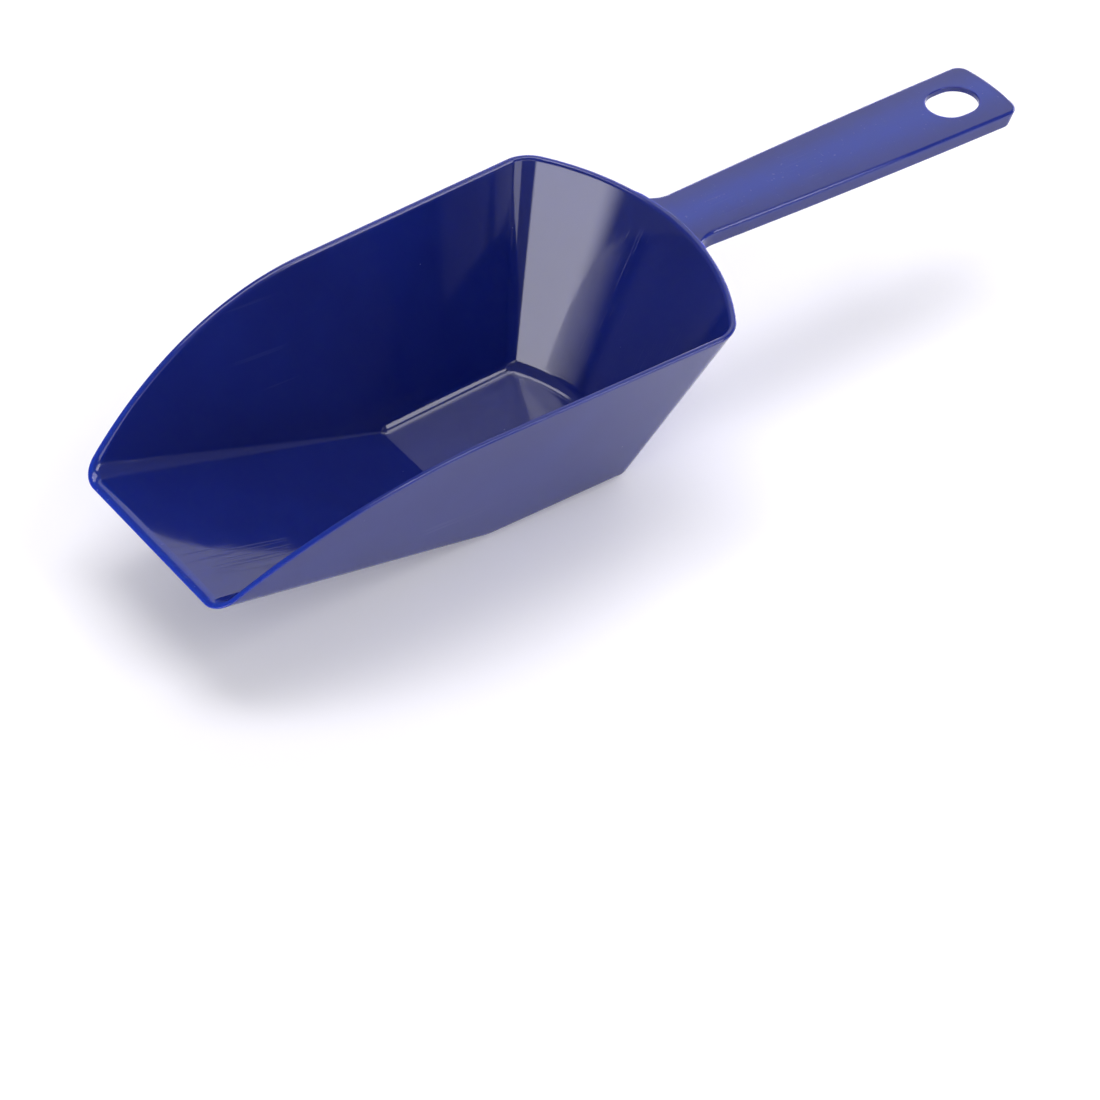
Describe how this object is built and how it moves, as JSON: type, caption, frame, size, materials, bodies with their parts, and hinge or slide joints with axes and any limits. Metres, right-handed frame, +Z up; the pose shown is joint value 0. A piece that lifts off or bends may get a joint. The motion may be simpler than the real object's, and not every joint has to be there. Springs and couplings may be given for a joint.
{
  "type": "feed scoop",
  "caption": "One-handed moulded plastic feed scoop with an open sloping front, a flat patch to stand on, a curved back wall and a channel-section handle with a hang hole.",
  "frame": {"origin": "on the flat patch under the bowl, on the ground plane and the scoop's middle plane, 2.6 mm nearer the lip than the patch's middle", "axes": "+Z up, +Y from the lip towards the handle's end, +X to the right when looking along +Y"},
  "size_m": [0.1102, 0.3201, 0.0617],
  "materials": {
    "plastic": "glossy as moulded, deep ultramarine blue, with faint handling scratches"
  },
  "bodies": {
    "root": {"bowl": "plastic", "handle": "plastic"}
  },
  "joints": []
}
